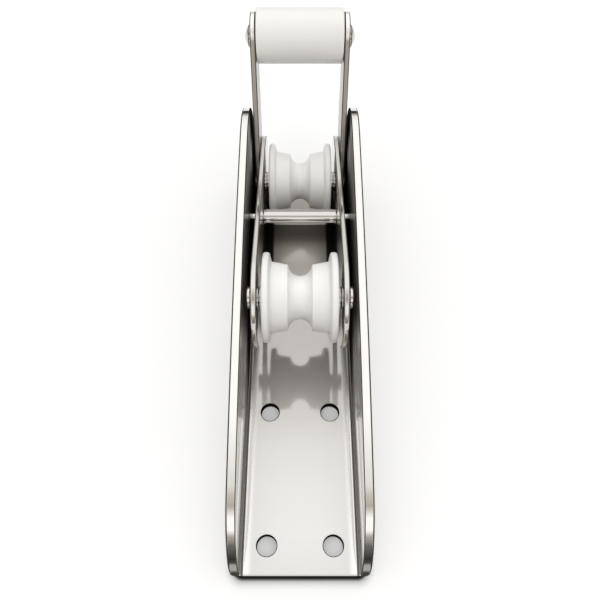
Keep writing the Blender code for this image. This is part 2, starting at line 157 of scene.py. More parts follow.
def weld(name, patches, crisp=None):
    # Patches become one closed mesh. Its shading follows the exact outward directions, or with
    # crisp set, the faces themselves with every edge over that angle kept sharp.
    points, facing, quads, start = [], [], [], 0
    for grid, outward in patches:
        rows, columns = grid.shape[:2]
        index = start + np.arange(rows * columns).reshape(rows, columns)
        corners = np.stack([index[:-1, :-1], index[1:, :-1], index[1:, 1:], index[:-1, 1:]], -1)
        cross = np.cross(grid[1:, :-1] - grid[:-1, :-1], grid[:-1, 1:] - grid[:-1, :-1])
        agrees = (cross * outward[:-1, :-1]).sum() > 0
        corners = corners.reshape(-1, 4)
        quads.append(corners if agrees else corners[:, ::-1])
        points.append(grid.reshape(-1, 3))
        facing.append(outward.reshape(-1, 3))
        start += rows * columns
    mesh = bpy.data.meshes.new(name)
    mesh.from_pydata(np.concatenate(points), [], np.concatenate(quads))
    kept = mesh.attributes.new("outward", "FLOAT_VECTOR", "POINT")
    kept.data.foreach_set("vector", np.concatenate(facing).ravel())
    shape = bmesh.new()
    shape.from_mesh(mesh)
    bmesh.ops.remove_doubles(shape, verts=shape.verts, dist=weldDistance)
    shape.to_mesh(mesh)
    shape.free()
    mesh.shade_smooth()
    if crisp is None:
        outward = np.empty(len(mesh.vertices) * 3)
        mesh.attributes["outward"].data.foreach_get("vector", outward)
        mesh.normals_split_custom_set_from_vertices(outward.reshape(-1, 3))
    else:
        mesh.set_sharp_from_angle(angle=crisp)
    mesh.attributes.remove(mesh.attributes["outward"])
    return mesh


def place(name, patches, material, body, slot, nodes, crisp=None):
    mesh = weld(name, patches, crisp)
    mesh.materials.append(material)
    piece = bpy.data.objects.new(name, mesh)
    bpy.context.scene.collection.objects.link(piece)
    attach(piece, body)
    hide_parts(*nodes)


def turnedPatch(profile, facing, centre, segments, sign=1):
    # A profile of (along X, radius) pairs carried round an axis through the centre. The sign
    # turns it to face left or right.
    angles = np.linspace(0, fullTurn, segments + 1)
    cosines, sines = np.cos(angles)[:, None], np.sin(angles)[:, None]
    across = np.broadcast_to(sign * profile[None, :, 0], (segments + 1, len(profile)))
    points = np.stack([across, profile[None, :, 1] * cosines, profile[None, :, 1] * sines], -1)
    tilt = np.broadcast_to(sign * facing[None, :, 0], across.shape)
    outward = np.stack([tilt, facing[None, :, 1] * cosines, facing[None, :, 1] * sines], -1)
    return points + np.array(centre), outward


def sideView(patches, sign, inner):
    # from a plate's own (Y, Z, depth) to the world, with depth running outwards from the middle
    turned = []
    for grid, outward in patches:
        points = np.stack([sign * (inner + grid[..., 2]), grid[..., 0], grid[..., 1]], -1)
        facing = np.stack([sign * outward[..., 2], outward[..., 0], outward[..., 1]], -1)
        turned.append((points, facing))
    return turned


# Shader tools

class Wire:
    # a socket that takes part in Python sums; every operator adds one Math node
    def __init__(self, board, socket):
        self.board = board
        self.socket = socket

    def maths(self, operation, *values):
        return self.board.node("ShaderNodeMath", {"operation": operation}, dict(enumerate(values)))

    def __add__(self, other):
        return self.maths("ADD", self, other)

    def __radd__(self, other):
        return self.maths("ADD", other, self)

    def __sub__(self, other):
        return self.maths("SUBTRACT", self, other)

    def __rsub__(self, other):
        return self.maths("SUBTRACT", other, self)

    def __mul__(self, other):
        return self.maths("MULTIPLY", self, other)

    def __rmul__(self, other):
        return self.maths("MULTIPLY", other, self)

    def sine(self):
        return self.maths("SINE", self)

    def size(self):
        return self.maths("ABSOLUTE", self)

    def atLeast(self, other):
        return self.maths("MAXIMUM", self, other)

    def clamped(self):
        return self.maths("MINIMUM", self.atLeast(0.0), 1.0)


class Board:
    # one node tree, of a material or of the world
    def __init__(self, owner):
        owner.use_nodes = True
        self.owner = owner
        self.tree = owner.node_tree

    def node(self, kind, settings, inputs, output=0):
        made = self.tree.nodes.new(kind)
        for key, value in settings.items():
            if key == "stops":
                while len(made.color_ramp.elements) < len(value):
                    made.color_ramp.elements.new(0.5)
                for element, (position, shade) in zip(made.color_ramp.elements, value):
                    element.position = position
                    element.color = shade if isinstance(shade, tuple) else (shade, shade, shade, 1)
            else:
                setattr(made, key, value)
        for key, value in inputs.items():
            self.feed(made.inputs[key], value)
        return Wire(self, made.outputs[output])

    def feed(self, socket, value):
        if isinstance(value, Wire):
            self.tree.links.new(value.socket, socket)
        else:
            socket.default_value = value

    def finish(self, shader, values):
        for key, value in values.items():
            self.feed(self.tree.nodes[shader].inputs[key], value)
        return self.owner

    def coordinates(self, scale=(1, 1, 1)):
        where = self.node("ShaderNodeTexCoord", {}, {}, "Object")
        return self.node("ShaderNodeVectorMath", {"operation": "MULTIPLY"}, {0: where, 1: scale})

    def facing(self):
        # the way that the surface faces, in the piece's own axes
        return self.node("ShaderNodeTexCoord", {}, {}, "Normal")

    def parts(self, where):
        return [self.node("ShaderNodeSeparateXYZ", {}, {0: where}, axis) for axis in "XYZ"]

    def noise(self, where, scale, detail=2.0, roughness=0.5):
        return self.node("ShaderNodeTexNoise", {}, {"Vector": where, "Scale": scale, "Detail": detail,
                                                    "Roughness": roughness})

    def ramp(self, value, *stops):
        return self.node("ShaderNodeValToRGB", {"stops": stops}, {"Fac": value})

    def smooth(self, value, low, high):
        # 0 below low, 1 above high, eased in between
        return self.node("ShaderNodeMapRange", {"interpolation_type": "SMOOTHSTEP"},
                         {"Value": value, "From Min": low, "From Max": high})

    def region(self, values, limits):
        # the product of eased limits, each on one of the values
        return math.prod(self.smooth(values[key], low, high) for key, low, high in limits)

    def mixColour(self, share, first, second):
        return self.node("ShaderNodeMix", {"data_type": "RGBA"}, {0: share, 6: first, 7: second}, 2)

    def bump(self, height, distance, strength):
        return self.node("ShaderNodeBump", {}, {"Height": height, "Distance": distance,
                                                "Strength": strength})


polish = {
    "hazeScale": 23.0, "hazeEnds": ((0.42, 0.0), (0.72, 1.0)), "hazeRoughness": 0.035, "hazeShare": 0.6,
    "dustScale": 900.0, "dustEnds": ((0.70, 0.0), (0.78, 1.0)), "dustRoughness": 0.05,
    "waveScale": 14.0, "waveHeight": 0.35, "lineHeight": 0.006, "lineRoughness": 0.06, "dimmed": 0.96,
    "bumpDistance": 0.0012, "bumpStrength": 0.22,
}


def polishedSteel(name, tone, shine, grain, paintedLight):
    # Mirror-polished stainless: warm grey, slow waviness from the buffing wheel, faint polishing
    # lines drawn out along one axis, and hazy patches where it was handled. paintedLight returns the
    # places where shade, highlights and reflections are painted into the colour, and the duller places:
    # for each, where it is, its colour, its added roughness and how much of the mirror it loses.
    board = Board(bpy.data.materials.new(name))
    where = board.coordinates()
    haze = board.ramp(board.noise(where, polish["hazeScale"], 4.0, 0.6), *polish["hazeEnds"])
    lines = board.noise(board.coordinates(grain), 1.0, 3.0, 0.6)
    waves = board.noise(where, polish["waveScale"], 1.0, 0.4)
    dust = board.ramp(board.noise(where, polish["dustScale"]), *polish["dustEnds"])
    roughness = shine + haze * polish["hazeRoughness"] + dust * polish["dustRoughness"] + \
        (lines - 0.5).clamped() * polish["lineRoughness"]
    dim = tuple(value * polish["dimmed"] for value in tone)
    colour = board.mixColour(haze * polish["hazeShare"], (*tone, 1), (*dim, 1))
    metal = 1.0
    for share, shade, added, lost in paintedLight(board, surfaceValues(board, where)):
        colour = board.mixColour(share, colour, shade if isinstance(shade, Wire) else (*shade, 1))
        roughness = roughness + share * added
        metal = metal - share * lost
    height = waves * polish["waveHeight"] + lines * polish["lineHeight"]
    return board.finish("Principled BSDF", {
        "Base Color": colour, "Metallic": metal.clamped(), "Roughness": roughness,
        "Specular IOR Level": 0.0,
        "Normal": board.bump(height, polish["bumpDistance"], polish["bumpStrength"])})


def surfaceValues(board, where):
    # what tells places apart: the distance from the middle plane, the place along Y, the height,
    # and how far the face looks sideways, outboard and up
    x, y, z = board.parts(where)
    acrossFace, alongFace, upFace = board.parts(board.facing())
    return {"aside": x.size(), "along": y, "height": z, "sideways": acrossFace.size(),
            "outboard": alongFace, "up": upFace}


def listed(places):
    # a plain list of (limits, colour, added roughness, lost mirror) for polishedSteel
    def paintedLight(board, values):
        return [(board.region(values, limits), *look) for limits, *look in places]
    return paintedLight


# Limits run from none of a place to all of it.
# where the channel's painted light lies
channelPlaces = {
    "floor": (("up", 0.93, 0.99), ("height", 0.0050, 0.0056), ("height", 0.0070, 0.0064)),
    "strip": (("aside", 0.0300, 0.0345), ("along", 0.065, 0.035)),
    "flank": (("aside", 0.007, 0.021), ("along", 0.165, 0.180)),
    "inside": (("aside", 0.0388, 0.0383), ("height", 0.0055, 0.0059)),
    "wall": (("sideways", 0.93, 0.98),),
    "upper": (("height", 0.045, 0.070), ("along", 0.035, 0.080), ("along", 0.185, 0.120)),
    "bend": (("aside", 0.0357, 0.0364), ("aside", 0.0377, 0.0371)),
    "foot": (("height", 0.0150, 0.0090),),
    "edge": (("sideways", 0.20, 0.42), ("sideways", 0.998, 0.985), ("height", 0.0088, 0.0096)),
    "floorSlot": (("aside", 0.0205, 0.0235), ("along", 0.105, 0.130)),
    "slotFront": (("along", 0.150, 0.205),),
    "slotBack": (("along", 0.085, 0.150),),
    "slotSlope": (("slope", 0.0, 0.05),),
    "slotTop": (("height", 0.045, 0.085),),
    "slotMiddle": (("along", 0.250, 0.225),),
    "outer": (("aside", 0.0425, 0.0432), ("sideways", 0.97, 0.995)),
}
# How strongly each place shows, its colour (none where it varies), added roughness and lost mirror.
# Each colour below is painted light: strip a painted highlight, floor painted reflections and shade,
# streak and outer painted reflections, and the rest painted shade.
channelLooks = {
    "floor": (1.0, None, 0.035, 0.52),
    "strip": (1.0, (0.80, 0.79, 0.775), 0.0, 0.1),
    "flank": (0.5, (0.05, 0.045, 0.038), 0.0, 0.6),
    "streak": (0.9, (0.40, 0.365, 0.325), 0.05, 0.45),
    "upper": (0.6, (0.42, 0.37, 0.32), 0.0, 0.5),
    "bend": (0.9, (0.05, 0.045, 0.040), 0.05, 0.9),
    "foot": (0.5, (0.20, 0.18, 0.155), 0.05, 0.5),
    "edge": (1.0, (0.07, 0.064, 0.056), 0.05, 0.92),
    "outer": (1.0, None, 0.02, 0.10),
    "ending": (1.0, (0.03, 0.028, 0.024), 0.05, 0.9),
    "black": (0.98, (0.004, 0.004, 0.0035), 0.1, 1.0),
    "bore": (1.0, (0.012, 0.011, 0.010), 0.25, 1.0),
}
# colours and shares for the painted light: the floor along Y, the outer walls by height, the streaks, the
# ends by facing, the slots and the bores
channelTones = {
    "floorScale": 2.9, "floorStart": 0.2,
    "floor": ((0.03, (0.690, 0.682, 0.668, 1)), (0.09, (0.755, 0.746, 0.730, 1)),
              (0.17, (0.765, 0.753, 0.735, 1)), (0.26, (0.735, 0.720, 0.700, 1)),
              (0.32, (0.67, 0.65, 0.625, 1)), (0.49, (0.66, 0.635, 0.605, 1)),
              (0.64, (0.62, 0.595, 0.56, 1)), (0.68, (0.92, 0.88, 0.84, 1)),
              (0.735, (0.86, 0.82, 0.77, 1)), (0.755, (0.70, 0.66, 0.61, 1)),
              (0.785, (0.25, 0.228, 0.20, 1)), (0.802, (0.17, 0.153, 0.132, 1)),
              (0.83, (0.22, 0.20, 0.175, 1)), (0.85, (0.40, 0.375, 0.34, 1))),
    "outerScale": 9.0, "outerGrain": (40.0, 1.5, 60.0), "outerStreak": (0.70, 0.69, 0.67, 1),
    "outer": ((0.05, (0.17, 0.16, 0.145, 1)), (0.16, (0.45, 0.43, 0.40, 1)),
              (0.42, (0.80, 0.79, 0.765, 1)), (0.60, (0.56, 0.54, 0.51, 1)),
              (0.95, (0.74, 0.73, 0.71, 1))),
    "streakGrain": (40.0, 0.6, 130.0), "streak": ((0.36, 0.35), (0.62, 1.0)),
    "ending": ((0.69, 0.0), (0.77, 0.85), (0.885, 1.0), (0.915, 0.95), (0.935, 0.55), (0.965, 0.55),
               (0.985, 1.0)),
    "slotSlope": (0.75, 0.9), "slotBack": 0.2, "slotMiddle": 0.5, "slotTop": 0.12,
    "boreStart": 0.0006, "boreEnd": 0.0003,
}


def channelPaintedLight(board, values):
    # The channel's painted light: the flat floor a little duller than the walls, with painted
    # reflections of the rollers and painted shade along it and a painted highlight in a bright strip
    # beside each bend; painted reflection streaks along the inner wall faces; painted shade on the
    # bends, the rounded edges, the ends, the inner walls' upper middle and foot, the floor beside the
    # rollers and the drilled bores; a painted reflection up the outer walls; and painted shade that
    # turns the deep slots beside the cradle black.
    tones = channelTones
    along, height = values["along"], values["height"]
    values["slope"] = along * tones["slotSlope"][0] - height * tones["slotSlope"][1]
    found = {key: board.region(values, limits) for key, limits in channelPlaces.items()}
    floor, inside, strip = found["floor"], found["inside"], found["strip"]
    wall = inside * found["wall"]
    # painted reflection streaks on the inner walls
    streak = board.ramp(board.noise(board.coordinates(tones["streakGrain"]), 1.0, 1.0), *tones["streak"])
    # painted reflections of the rollers and painted shade along the floor, by the place along Y
    floorTone = board.ramp(along * tones["floorScale"] + tones["floorStart"], *tones["floor"])
    # a painted reflection on the outer walls, darker towards the bottom, with streaks
    outerTone = board.mixColour(board.noise(board.coordinates(tones["outerGrain"]), 1.0),
                                board.ramp(height * tones["outerScale"], *tones["outer"]),
                                tones["outerStreak"])
    # a slot's painted shade: full at its outboard end and below a slanting line, less near the top
    slotPaintedShade = wall * found["slotFront"].atLeast(found["slotBack"] * tones["slotBack"]).atLeast(
        found["slotSlope"])
    lit = found["slotTop"] * (found["slotMiddle"] * tones["slotMiddle"] + tones["slotTop"])
    acrossHole = values["aside"] - channel["holeX"]
    alongHole = along.size() - channel["holeY"]
    fromHole = along.maths("SQRT", acrossHole * acrossHole + alongHole * alongHole)
    # how much of each painted shade, highlight and reflection a point takes
    shares = {
        "floor": floor * (1 - strip), "strip": floor * strip, "flank": floor * found["flank"],
        "streak": wall * streak, "upper": wall * found["upper"], "bend": inside * found["bend"],
        "foot": wall * found["foot"], "edge": found["edge"], "outer": found["outer"],
        "ending": board.ramp(0 - values["outboard"], *tones["ending"]),
        "black": (slotPaintedShade * (1 - lit)).atLeast(inside * found["floorSlot"] * (1 - wall)),
        "bore": board.smooth(fromHole, channel["holeRadius"] + tones["boreStart"],
                             channel["holeRadius"] + tones["boreEnd"]),
    }
    varied = {"floor": floorTone, "outer": outerTone}
    return [(shares[key] * strength, varied.get(key, colour), added, lost)
            for key, (strength, colour, added, lost) in channelLooks.items()]


# the cheeks' narrow faces with a painted highlight where they slope to the front, and painted shade
# on their rounded edges
cradlePlaces = [
    ((("sideways", 0.55, 0.35), ("along", 0.180, 0.198)), (0.88, 0.86, 0.83), 0.1, 0.7),
    ((("sideways", 0.50, 0.75), ("sideways", 0.995, 0.96)), (0.12, 0.108, 0.095), 0.05, 0.85)]

# the arms' flat faces and narrow edges darker and a little duller, a painted highlight on the narrow
# edges' tops, and painted shade on the rounding between
bailPlaces = [
    ((("sideways", 0.96, 0.995),), (0.52, 0.51, 0.50), 0.04, 0.42),
    ((("sideways", 0.45, 0.25),), (0.58, 0.54, 0.495), 0.04, 0.38),
    ((("sideways", 0.45, 0.25), ("up", 0.45, 0.75)), (0.90, 0.88, 0.85), 0.04, 0.15),
    ((("sideways", 0.32, 0.52), ("sideways", 0.995, 0.96)), (0.09, 0.083, 0.072), 0.05, 0.85)]

# painted shade: a dark line where a head's face turns over to its side
fastenerPlaces = [
    ((("sideways", 0.30, 0.45), ("sideways", 0.80, 0.72)), (0.10, 0.09, 0.08), 0.05, 0.85)]

turning = {
    "swirlScale": 60.0, "swirl": 1.5, "mottleScale": 45.0, "speckScale": 700.0, "ringHeight": 0.12,
    "speckHeight": 0.5, "roughness": 0.36, "mottleRoughness": 0.12, "bumpDistance": 0.00006,
    "bumpStrength": 0.5, "glow": 0.35, "glowDepth": (0.007, 0.0066, 0.006), "index": 1.53,
}


def turnedNylon(name, pitch, dull, light):
    # White nylon bar turned on a lathe: fine rings across X, a satin face, a trace of mottling.
    # A ring's height is the sine of the place along X, in turns of one pitch, with a slow swirl.
    board = Board(bpy.data.materials.new(name))
    where = board.coordinates()
    swirl = board.noise(where, turning["swirlScale"]) * turning["swirl"]
    rings = (board.parts(where)[0] * (fullTurn / pitch) + swirl).sine()
    mottle = board.noise(where, turning["mottleScale"], 4.0, 0.6)
    speck = board.noise(where, turning["speckScale"])
    height = rings * turning["ringHeight"] + speck * turning["speckHeight"]
    return board.finish("Principled BSDF", {
        "Base Color": board.mixColour(mottle, (*dull, 1), (*light, 1)),
        "Roughness": turning["roughness"] + mottle * turning["mottleRoughness"],
        "Subsurface Weight": turning["glow"], "Subsurface Radius": turning["glowDepth"],
        "Subsurface Scale": 1.0, "IOR": turning["index"],
        "Normal": board.bump(height, turning["bumpDistance"], turning["bumpStrength"])})


channel = {
    "plate": 0.006,
    "bendRadius": 0.0025,
    "fillet": 0.0015,
    "innerFillet": 0.0006,
    "cornerStart": 0.0063,
    "wallFoot": 0.0102,
    "radii": (0.054, 0.092, 1.454, 0.104, 0.0417),
    "climbs": (22.5, 16.6, 0.0, -1.6),
    "arcSteps": (24, 5, 12, 6, 26),
    "holeRadius": 0.0065,
    "holeX": 0.0215,
    "holeY": 0.04525,
    "holeCellEnd": 0.090,
    "holeFillet": 0.0005,
    "crownSteps": 12,
    "floorSteps": 14,
    "bendSteps": 10,
    "wallSteps": 8,
}

channelSteel = polishedSteel("channelSteel", (0.76, 0.745, 0.715), 0.035, (900.0, 6.0, 900.0),
                             channelPaintedLight)
cradleSteel = polishedSteel("cradleSteel", (0.62, 0.602, 0.572), 0.045, (6.0, 500.0, 900.0),
                            listed(cradlePlaces))
bailSteel = polishedSteel("bailSteel", (0.72, 0.705, 0.68), 0.05, (900.0, 500.0, 8.0),
                          listed(bailPlaces))
fastenerSteel = polishedSteel("fastenerSteel", (0.66, 0.64, 0.61), 0.09, (900.0, 40.0, 40.0),
                              listed(fastenerPlaces))
rollerNylon = turnedNylon("rollerNylon", 0.0005, (0.79, 0.782, 0.762), (0.84, 0.832, 0.814))
# the front roller's nylon is the rear roller's painted lighter: painted light where the deep channel
# shades it
frontNylonPaintedLighter = turnedNylon("frontNylonPaintedLighter", 0.0005, (0.92, 0.905, 0.88), (0.95, 0.94, 0.92))
keeperNylon = turnedNylon("keeperNylon", 0.0006, (0.78, 0.770, 0.745), (0.83, 0.820, 0.797))
print("materials made")


# The folded channel. It is worked out as a flat pattern, in (around the section, along Y, depth),
# with rounded edges and the four bolt holes, and then bent up at both sides.

def wallOutline(inset):
    # Inset points of the wall's upper edge from the inboard end to the outboard end: five arcs,
    # each taking over the slope of the one before. climbs are the slopes where they meet.
    start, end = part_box("base_channel")[0].y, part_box("base_channel")[1].y
    climbs = np.radians([90.0, *channel["climbs"], -90.0])
    radii = np.array(channel["radii"])
    spans = radii * (np.sin(climbs[:-1]) - np.sin(climbs[1:]))
    climbs[3] = math.asin((spans.sum() - (end - start)) / (radii[2] - radii[3]))
    here = np.array([start, channel["cornerStart"]])
    centres = []
    for radius, first, last in zip(radii, climbs, climbs[1:]):
        centres.append(here + radius * np.array([math.sin(first), -math.cos(first)]))
        here = centres[-1] + radius * np.array([-math.sin(last), math.cos(last)])
    lifted = climbs.copy()
    lifted[0] -= math.asin((channel["wallFoot"] - channel["cornerStart"]) / radii[0])
    arcs = [arcOf(centres[k], radii[k] - inset, lifted[k] + halfTurn / 2, lifted[k + 1] + halfTurn / 2,
                  channel["arcSteps"][k]) for k in range(5)]
    # the crown's points sit on even stations, so that the bolt holes' cells end on them
    stops = [arcs[1][0][-1, 0], 0.0, channel["holeCellEnd"], arcs[3][0][0, 0]]
    count = channel["crownSteps"]
    stations = np.concatenate([np.linspace(stops[k], stops[k + 1], count + 1)[:-1] for k in range(3)])[1:]
    angles = np.arccos((stations - centres[2][0]) / (radii[2] - inset))
    facing = np.stack([np.cos(angles), np.sin(angles)], -1)
    crown = centres[2] + (radii[2] - inset) * facing
    points = [arcs[0][0], arcs[1][0][1:], crown, arcs[3][0], arcs[4][0][1:]]
    outward = [arcs[0][1], arcs[1][1][1:], facing, arcs[3][1], arcs[4][1][1:]]
    return np.concatenate(points), np.concatenate(outward)


def foldUp(patches, floorHalf):
    # The flat pattern's first coordinate runs along the floor, round the bend and up the wall.
    plate, bend = channel["plate"], channel["bendRadius"]
    bendLength = bend * halfTurn / 2
    folded = []
    for grid, outward in patches:
        around, along, depth = grid[..., 0], grid[..., 1], grid[..., 2]
        angle = np.clip((around - floorHalf) / bend, 0, halfTurn / 2)
        onFloor = np.minimum(around, floorHalf)
        upWall = np.maximum(around - floorHalf - bendLength, 0)
        cosines, sines = np.cos(angle), np.sin(angle)
        x = onFloor + (bend + depth) * sines
        z = plate + bend - (bend + depth) * cosines + upWall
        facing = np.stack([outward[..., 0] * cosines + outward[..., 2] * sines, outward[..., 1],
                           outward[..., 0] * sines - outward[..., 2] * cosines], -1)
        folded.append((np.stack([x, along, z], -1), facing))
    return folded


def mirrored(patches):
    flip = np.array([-1.0, 1.0, 1.0])
    return patches + [(grid * flip, outward * flip) for grid, outward in patches]


def buildChannel():
    fillet, plate, bend = channel["fillet"], channel["plate"], channel["bendRadius"]
    low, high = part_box("base_channel")
    floorHalf = high.x - plate - bend
    bendLength = bend * halfTurn / 2
    wallFoot = floorHalf + bendLength
    edge, facing = wallOutline(fillet)
    along = edge[:, 0]
    height = wallFoot + edge[:, 1] - plate - bend
    floorX = np.linspace(0, floorHalf, channel["floorSteps"] + 1)
    bendX = np.linspace(floorHalf, wallFoot, channel["bendSteps"] + 1)
    rows = np.linspace(0, 1, channel["wallSteps"] + 1)

    def sheet(first, second):
        return np.stack([first, second], -1)

    wall = sheet(wallFoot + (height - wallFoot)[None] * rows[:, None],
                 np.broadcast_to(along, (len(rows), len(along))))
    bendGrid = np.meshgrid(bendX, along, indexing="ij")
    patches = facePatches(wall, plate) + facePatches(sheet(*bendGrid), plate)
    # each bolt hole has its own cell, a rectangle of floor; what is left outboard is one grid
    firstCell = along[along <= touching]
    secondCell = along[(along >= -touching) & (along <= channel["holeCellEnd"] + touching)]
    for cell, holeY in ((firstCell, -channel["holeY"]), (secondCell, channel["holeY"])):
        loop = np.concatenate([
            sheet(floorX, np.full(len(floorX), cell[0])),
            sheet(np.full(len(cell), floorHalf), cell)[1:],
            sheet(floorX[::-1], np.full(len(floorX), cell[-1]))[1:],
            sheet(np.zeros(len(cell)), cell[::-1])[1:]])
        patches += holedCell(loop, (channel["holeX"], holeY), channel["holeRadius"], plate,
                             channel["holeFillet"])
    rest = along[along >= channel["holeCellEnd"] - touching]
    patches += facePatches(sheet(*np.meshgrid(floorX, rest, indexing="ij")), plate)
    # the rim goes out along the inboard end, over the wall and back along the outboard end
    firstEnd = np.concatenate([floorX, bendX[1:], wall[1:-1, 0, 0]])
    lastEnd = np.concatenate([wall[-2:0:-1, -1, 0], bendX[:0:-1], floorX[::-1]])
    outline = np.concatenate([sheet(firstEnd, np.full(len(firstEnd), along[0])),
                              sheet(height, along),
                              sheet(lastEnd, np.full(len(lastEnd), along[-1]))])
    outward = np.concatenate([np.tile([0.0, -1.0], (len(firstEnd), 1)), facing[:, ::-1],
                              np.tile([0.0, 1.0], (len(lastEnd), 1))])
    patches.append(rimPatch(outline, outward, plate, fillet, channel["innerFillet"]))
    place("channelSkin", mirrored(foldUp(patches, floorHalf)), channelSteel, "base",
          "channel_steel", ["base_channel"])


buildChannel()
print("channel folded")


# Flat links: the cradle's cheeks and the bail's arms

link = {"endSteps": 44, "sideSteps": 12, "holeFillet": 0.4}
cheek = {"frontMargin": 0.0062, "rearMargin": 0.0032, "fillet": 0.0011, "screwHole": 0.0033,
         "pivotHole": 0.0033, "cuts": (0.30, 0.80)}
arm = {"footRadius": 0.020, "topRadius": 0.016, "fillet": 0.0012, "screwHole": 0.0033, "cuts": (0.5,)}


def linkPatches(first, second, firstRadius, secondRadius, holes, cuts, thickness, fillet):
    # Two circles joined by their outer tangents. Straight cuts across part the link into cells
    # with one hole each; each cell's loop follows its stretch of the inset outline.
    first, second = np.array(first), np.array(second)
    line = second - first
    heading = math.atan2(line[1], line[0])
    flare = math.acos((firstRadius - secondRadius) / np.linalg.norm(line))
    upper = np.array([math.cos(heading + flare), math.sin(heading + flare)])
    lower = np.array([math.cos(heading - flare), math.sin(heading - flare)])
    steps, endSteps = link["sideSteps"], link["endSteps"]
    firstEnd = arcOf(first, firstRadius - fillet, heading + flare, heading - flare + fullTurn, endSteps)
    secondEnd = arcOf(second, secondRadius - fillet, heading - flare, heading + flare, endSteps)
    stops = [0.0, *cuts, 1.0]
    lowerLine = lineOf(firstEnd[0][-1], secondEnd[0][0], 1)
    upperLine = lineOf(firstEnd[0][0], secondEnd[0][-1], 1)

    def between(ends, share):
        return ends[0] * (1 - share) + ends[1] * share

    patches, outline, outward = [], [firstEnd[0]], [firstEnd[1]]
    for number, (hole, radius) in enumerate(holes):
        start, end = stops[number], stops[number + 1]
        along = lineOf(between(lowerLine, start), between(lowerLine, end), steps)
        back = lineOf(between(upperLine, end), between(upperLine, start), steps)
        outline.append(along[1:])
        outward.append(np.tile(lower, (steps, 1)))
        far = lineOf(along[-1], back[0], steps)
        near = lineOf(back[-1], along[0], steps)
        if number == len(holes) - 1:
            far = secondEnd[0]
        if number == 0:
            near = firstEnd[0]
        loop = np.concatenate([along, far[1:], back[1:], near[1:]])
        patches += holedCell(loop, hole, radius, thickness, fillet * link["holeFillet"])
    outline.append(secondEnd[0][1:])
    outward.append(secondEnd[1][1:])
    for number in reversed(range(len(holes))):
        start, end = stops[number], stops[number + 1]
        outline.append(lineOf(between(upperLine, end), between(upperLine, start), steps)[1:])
        outward.append(np.tile(upper, (steps, 1)))
    patches.append(rimPatch(np.concatenate(outline), np.concatenate(outward), thickness, fillet))
    return patches


rearAxle = centreOf("rear_roller")
frontAxle = centreOf("front_roller")
pivot = centreOf("pivot_tube")
keeperAxle = centreOf("keeper_roller")


def buildCheeks():
    flange = (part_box("front_roller")[1].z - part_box("front_roller")[0].z) / 2
    low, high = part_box("rocker_cheek_right")
    patches = linkPatches(
        rearAxle[1:], frontAxle[1:], flange + cheek["rearMargin"], flange + cheek["frontMargin"],
        [(rearAxle[1:], cheek["screwHole"]), (pivot[1:], cheek["pivotHole"]),
         (frontAxle[1:], cheek["screwHole"])],
        cheek["cuts"], high.x - low.x, cheek["fillet"])
    for side, sign in (("Left", -1), ("Right", 1)):
        place("cheek" + side, sideView(patches, sign, low.x), cradleSteel, "rocker",
              "cradle_steel", ["rocker_cheek_" + side.lower()])


def buildArms():
    low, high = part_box("bail_arm_right")
    patches = linkPatches(
        frontAxle[1:], keeperAxle[1:], arm["footRadius"], arm["topRadius"],
        [(frontAxle[1:], arm["screwHole"]), (keeperAxle[1:], arm["screwHole"])], arm["cuts"],
        high.x - low.x, arm["fillet"])
    for side, sign in (("Left", -1), ("Right", 1)):
        place("arm" + side, sideView(patches, sign, low.x), bailSteel, "bail", "bail_steel",
              ["bail_arm_" + side.lower()])


buildCheeks()
buildArms()
print("cheeks and arms cut")


# Rollers, turned from one closed profile each

grooved = {"halfWidth": 0.0247, "flange": 0.0303, "flangeHeight": 0.0062, "flangeWidth": 0.0057,
           "flangeTaper": 0.0014, "bodyTaper": 0.002, "grooveRadius": 0.008, "grooveDepth": 0.0076,
           "bore": 0.0063, "boreRound": 0.0008, "rimRound": 0.0015, "rootRound": 0.0008,
           "lipRound": 0.0008, "facetRound": 0.0004, "grooveSteps": 24, "segments": 180}
keeper = {"bore": 0.0053, "boreRound": 0.0008, "edge": 0.0009, "edgeSteps": 8, "segments": 160}


def groovedProfile():
    # One half from the bore's mouth over the flange and down the body to the groove's lip, the
    # groove as a circular arc, and the other half as its mirror image.
    half, flange = grooved["halfWidth"], grooved["flange"]
    body = flange - grooved["flangeHeight"]
    root = half - grooved["flangeWidth"]
    waist = body - grooved["bodyTaper"]
    depth, radius = grooved["grooveDepth"], grooved["grooveRadius"]
    spread = math.acos(1 - depth / radius)
    lip = radius * math.sin(spread)
    bore, rim = grooved["bore"], grooved["rimRound"]
    side = [(-half, bore), (-half, flange), (-root - grooved["flangeTaper"], flange),
            (-root, body), (-lip, waist)]
    radii = [grooved["boreRound"], rim, rim, grooved["rootRound"], grooved["lipRound"]]
    floor = arcOf((0, waist - depth + radius), radius, -halfTurn / 2 - spread,
                  -halfTurn / 2 + spread, grooved["grooveSteps"])[0]
    groove = [tuple(point) for point in floor[1:-1]]
    other = [(-x, r) for x, r in reversed(side)]
    corners = side + groove + other
    return corners, radii + [grooved["facetRound"]] * len(groove) + radii[::-1]


